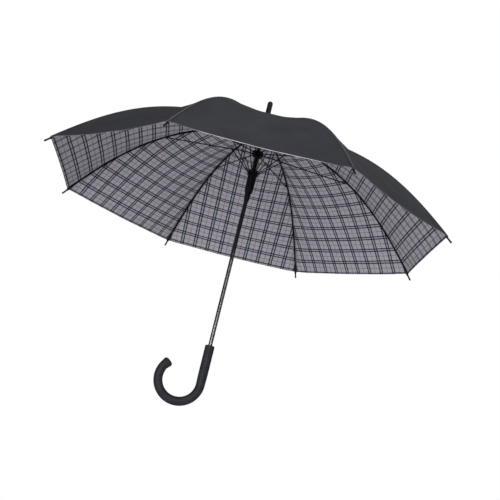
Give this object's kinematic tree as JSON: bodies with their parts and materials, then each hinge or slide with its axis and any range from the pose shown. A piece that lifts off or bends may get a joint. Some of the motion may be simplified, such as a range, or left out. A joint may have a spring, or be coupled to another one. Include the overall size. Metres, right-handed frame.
{
  "type": "stick umbrella",
  "caption": "Open stick umbrella with a lined, domed canopy on hinged ribs, a sprung runner that folds it, a push-button release and a crook handle.",
  "frame": {"origin": "on the shaft's axis, at the handle's top face", "axes": "+Z along the shaft to the ferrule, the crook bends towards -X, and the release button faces +Y"},
  "size_m": [0.9836, 0.9836, 0.824],
  "materials": {
    "frame": "satin black enamel on steel",
    "shaft": "gloss black on a steel tube",
    "handle": "matte soft-touch coating",
    "plastic": "moulded black plastic",
    "ferrule": "moulded black plastic, slightly glossy",
    "steel": "bright steel wire",
    "canopy": "woven pongee, charcoal outside and printed check inside"
  },
  "bodies": {
    "handle_and_shaft": {"shaft_tube": "shaft", "crook_handle": "handle", "button_pin": "steel", "button_spring": "steel", "ferrule": "ferrule", "canopy_cap": "plastic", "crown": "plastic", "crown_wire": "steel"},
    "hub": {"hub": "plastic", "hub_wire": "steel"},
    "runner": {"runner": "plastic", "runner_wire": "steel", "opening_spring": "steel"},
    "release_button": {"release_button": "plastic"},
    "rib_1": {"rib_1": "frame", "rib_tip_1": "plastic", "gore_1": "canopy"},
    "rib_2": {"rib_2": "frame", "rib_tip_2": "plastic", "gore_2": "canopy"},
    "rib_3": {"rib_3": "frame", "rib_tip_3": "plastic", "gore_3": "canopy"},
    "rib_4": {"rib_4": "frame", "rib_tip_4": "plastic", "gore_4": "canopy"},
    "rib_5": {"rib_5": "frame", "rib_tip_5": "plastic", "gore_5": "canopy", "tie_strap": "canopy", "strap_stud": "steel"},
    "rib_6": {"rib_6": "frame", "rib_tip_6": "plastic", "gore_6": "canopy"},
    "rib_7": {"rib_7": "frame", "rib_tip_7": "plastic", "gore_7": "canopy"},
    "rib_8": {"rib_8": "frame", "rib_tip_8": "plastic", "gore_8": "canopy"},
    "stretcher_1": {"stretcher_1": "frame"},
    "stretcher_2": {"stretcher_2": "frame"},
    "stretcher_3": {"stretcher_3": "frame"},
    "stretcher_4": {"stretcher_4": "frame"},
    "stretcher_5": {"stretcher_5": "frame"},
    "stretcher_6": {"stretcher_6": "frame"},
    "stretcher_7": {"stretcher_7": "frame"},
    "stretcher_8": {"stretcher_8": "frame"},
    "strut_1": {"strut_1": "frame"},
    "strut_2": {"strut_2": "frame"},
    "strut_3": {"strut_3": "frame"},
    "strut_4": {"strut_4": "frame"},
    "strut_5": {"strut_5": "frame"},
    "strut_6": {"strut_6": "frame"},
    "strut_7": {"strut_7": "frame"},
    "strut_8": {"strut_8": "frame"}
  },
  "joints": [
    {"name": "runner_slide", "type": "slide", "parent": "handle_and_shaft", "child": "runner", "axis": [0, 0, 1], "range_m": [-0.40206, 0], "stiffness_N_per_m": 60, "springref_m": 0.3, "deforming": ["opening_spring", "gore_1", "gore_2", "gore_3", "gore_4", "gore_5", "gore_6", "gore_7", "gore_8"]},
    {"name": "hub_slide", "type": "slide", "parent": "handle_and_shaft", "child": "hub", "axis": [0, 0, 1], "range_m": [-0.43317, 0.0005]},
    {"name": "button_press", "type": "hinge", "parent": "handle_and_shaft", "child": "release_button", "pos_m": [0, 0.0102, -0.026], "axis": [-1, 0, 0], "range_deg": [0, 8], "stiffness_Nm_per_rad": 0.06, "springref_deg": -5.73, "deforming": ["button_spring"]},
    {"name": "rib_1_hinge", "type": "hinge", "parent": "handle_and_shaft", "child": "rib_1", "pos_m": [0.00383, -0.00924, 0.579], "axis": [0.9239, 0.3827, 0], "range_deg": [-0.1, 63.3]},
    {"name": "rib_2_hinge", "type": "hinge", "parent": "handle_and_shaft", "child": "rib_2", "pos_m": [0.00924, -0.00383, 0.579], "axis": [0.3827, 0.9239, 0], "range_deg": [-0.1, 63.3]},
    {"name": "rib_3_hinge", "type": "hinge", "parent": "handle_and_shaft", "child": "rib_3", "pos_m": [0.00924, 0.00383, 0.579], "axis": [-0.3827, 0.9239, 0], "range_deg": [-0.1, 63.3]},
    {"name": "rib_4_hinge", "type": "hinge", "parent": "handle_and_shaft", "child": "rib_4", "pos_m": [0.00383, 0.00924, 0.579], "axis": [-0.9239, 0.3827, 0], "range_deg": [-0.1, 63.3]},
    {"name": "rib_5_hinge", "type": "hinge", "parent": "handle_and_shaft", "child": "rib_5", "pos_m": [-0.00383, 0.00924, 0.579], "axis": [-0.9239, -0.3827, 0], "range_deg": [-0.1, 63.3]},
    {"name": "rib_6_hinge", "type": "hinge", "parent": "handle_and_shaft", "child": "rib_6", "pos_m": [-0.00924, 0.00383, 0.579], "axis": [-0.3827, -0.9239, 0], "range_deg": [-0.1, 63.3]},
    {"name": "rib_7_hinge", "type": "hinge", "parent": "handle_and_shaft", "child": "rib_7", "pos_m": [-0.00924, -0.00383, 0.579], "axis": [0.3827, -0.9239, 0], "range_deg": [-0.1, 63.3]},
    {"name": "rib_8_hinge", "type": "hinge", "parent": "handle_and_shaft", "child": "rib_8", "pos_m": [-0.00383, -0.00924, 0.579], "axis": [0.9239, -0.3827, 0], "range_deg": [-0.1, 63.3]},
    {"name": "stretcher_1_hinge", "type": "hinge", "parent": "hub", "child": "stretcher_1", "pos_m": [0.00459, -0.01109, 0.514], "axis": [-0.9239, -0.3827, 0], "range_deg": [-0.1, 69.68]},
    {"name": "stretcher_2_hinge", "type": "hinge", "parent": "hub", "child": "stretcher_2", "pos_m": [0.01109, -0.00459, 0.514], "axis": [-0.3827, -0.9239, 0], "range_deg": [-0.1, 69.68]},
    {"name": "stretcher_3_hinge", "type": "hinge", "parent": "hub", "child": "stretcher_3", "pos_m": [0.01109, 0.00459, 0.514], "axis": [0.3827, -0.9239, 0], "range_deg": [-0.1, 69.68]},
    {"name": "stretcher_4_hinge", "type": "hinge", "parent": "hub", "child": "stretcher_4", "pos_m": [0.00459, 0.01109, 0.514], "axis": [0.9239, -0.3827, 0], "range_deg": [-0.1, 69.68]},
    {"name": "stretcher_5_hinge", "type": "hinge", "parent": "hub", "child": "stretcher_5", "pos_m": [-0.00459, 0.01109, 0.514], "axis": [0.9239, 0.3827, 0], "range_deg": [-0.1, 69.68]},
    {"name": "stretcher_6_hinge", "type": "hinge", "parent": "hub", "child": "stretcher_6", "pos_m": [-0.01109, 0.00459, 0.514], "axis": [0.3827, 0.9239, 0], "range_deg": [-0.1, 69.68]},
    {"name": "stretcher_7_hinge", "type": "hinge", "parent": "hub", "child": "stretcher_7", "pos_m": [-0.01109, -0.00459, 0.514], "axis": [-0.3827, 0.9239, 0], "range_deg": [-0.1, 69.68]},
    {"name": "stretcher_8_hinge", "type": "hinge", "parent": "hub", "child": "stretcher_8", "pos_m": [-0.00459, -0.01109, 0.514], "axis": [-0.9239, 0.3827, 0], "range_deg": [-0.1, 69.68]},
    {"name": "strut_1_hinge", "type": "hinge", "parent": "runner", "child": "strut_1", "pos_m": [0.00459, -0.01109, 0.458], "axis": [-0.9239, -0.3827, 0], "range_deg": [-0.1, 33.78]},
    {"name": "strut_2_hinge", "type": "hinge", "parent": "runner", "child": "strut_2", "pos_m": [0.01109, -0.00459, 0.458], "axis": [-0.3827, -0.9239, 0], "range_deg": [-0.1, 33.78]},
    {"name": "strut_3_hinge", "type": "hinge", "parent": "runner", "child": "strut_3", "pos_m": [0.01109, 0.00459, 0.458], "axis": [0.3827, -0.9239, 0], "range_deg": [-0.1, 33.78]},
    {"name": "strut_4_hinge", "type": "hinge", "parent": "runner", "child": "strut_4", "pos_m": [0.00459, 0.01109, 0.458], "axis": [0.9239, -0.3827, 0], "range_deg": [-0.1, 33.78]},
    {"name": "strut_5_hinge", "type": "hinge", "parent": "runner", "child": "strut_5", "pos_m": [-0.00459, 0.01109, 0.458], "axis": [0.9239, 0.3827, 0], "range_deg": [-0.1, 33.78]},
    {"name": "strut_6_hinge", "type": "hinge", "parent": "runner", "child": "strut_6", "pos_m": [-0.01109, 0.00459, 0.458], "axis": [0.3827, 0.9239, 0], "range_deg": [-0.1, 33.78]},
    {"name": "strut_7_hinge", "type": "hinge", "parent": "runner", "child": "strut_7", "pos_m": [-0.01109, -0.00459, 0.458], "axis": [-0.3827, 0.9239, 0], "range_deg": [-0.1, 33.78]},
    {"name": "strut_8_hinge", "type": "hinge", "parent": "runner", "child": "strut_8", "pos_m": [-0.00459, -0.01109, 0.458], "axis": [-0.9239, 0.3827, 0], "range_deg": [-0.1, 33.78]}
  ],
  "couplings": [
    {"joint": "hub_slide", "follows": "runner_slide", "ratio": 1.0761},
    {"joint": "rib_1_hinge", "follows": "runner_slide", "rad_per_m": -2.7435},
    {"joint": "rib_2_hinge", "follows": "runner_slide", "rad_per_m": -2.7435},
    {"joint": "rib_3_hinge", "follows": "runner_slide", "rad_per_m": -2.7435},
    {"joint": "rib_4_hinge", "follows": "runner_slide", "rad_per_m": -2.7435},
    {"joint": "rib_5_hinge", "follows": "runner_slide", "rad_per_m": -2.7435},
    {"joint": "rib_6_hinge", "follows": "runner_slide", "rad_per_m": -2.7435},
    {"joint": "rib_7_hinge", "follows": "runner_slide", "rad_per_m": -2.7435},
    {"joint": "rib_8_hinge", "follows": "runner_slide", "rad_per_m": -2.7435},
    {"joint": "stretcher_1_hinge", "follows": "runner_slide", "rad_per_m": -3.0206},
    {"joint": "stretcher_2_hinge", "follows": "runner_slide", "rad_per_m": -3.0206},
    {"joint": "stretcher_3_hinge", "follows": "runner_slide", "rad_per_m": -3.0206},
    {"joint": "stretcher_4_hinge", "follows": "runner_slide", "rad_per_m": -3.0206},
    {"joint": "stretcher_5_hinge", "follows": "runner_slide", "rad_per_m": -3.0206},
    {"joint": "stretcher_6_hinge", "follows": "runner_slide", "rad_per_m": -3.0206},
    {"joint": "stretcher_7_hinge", "follows": "runner_slide", "rad_per_m": -3.0206},
    {"joint": "stretcher_8_hinge", "follows": "runner_slide", "rad_per_m": -3.0206},
    {"joint": "strut_1_hinge", "follows": "runner_slide", "rad_per_m": -1.4618},
    {"joint": "strut_2_hinge", "follows": "runner_slide", "rad_per_m": -1.4618},
    {"joint": "strut_3_hinge", "follows": "runner_slide", "rad_per_m": -1.4618},
    {"joint": "strut_4_hinge", "follows": "runner_slide", "rad_per_m": -1.4618},
    {"joint": "strut_5_hinge", "follows": "runner_slide", "rad_per_m": -1.4618},
    {"joint": "strut_6_hinge", "follows": "runner_slide", "rad_per_m": -1.4618},
    {"joint": "strut_7_hinge", "follows": "runner_slide", "rad_per_m": -1.4618},
    {"joint": "strut_8_hinge", "follows": "runner_slide", "rad_per_m": -1.4618}
  ]
}
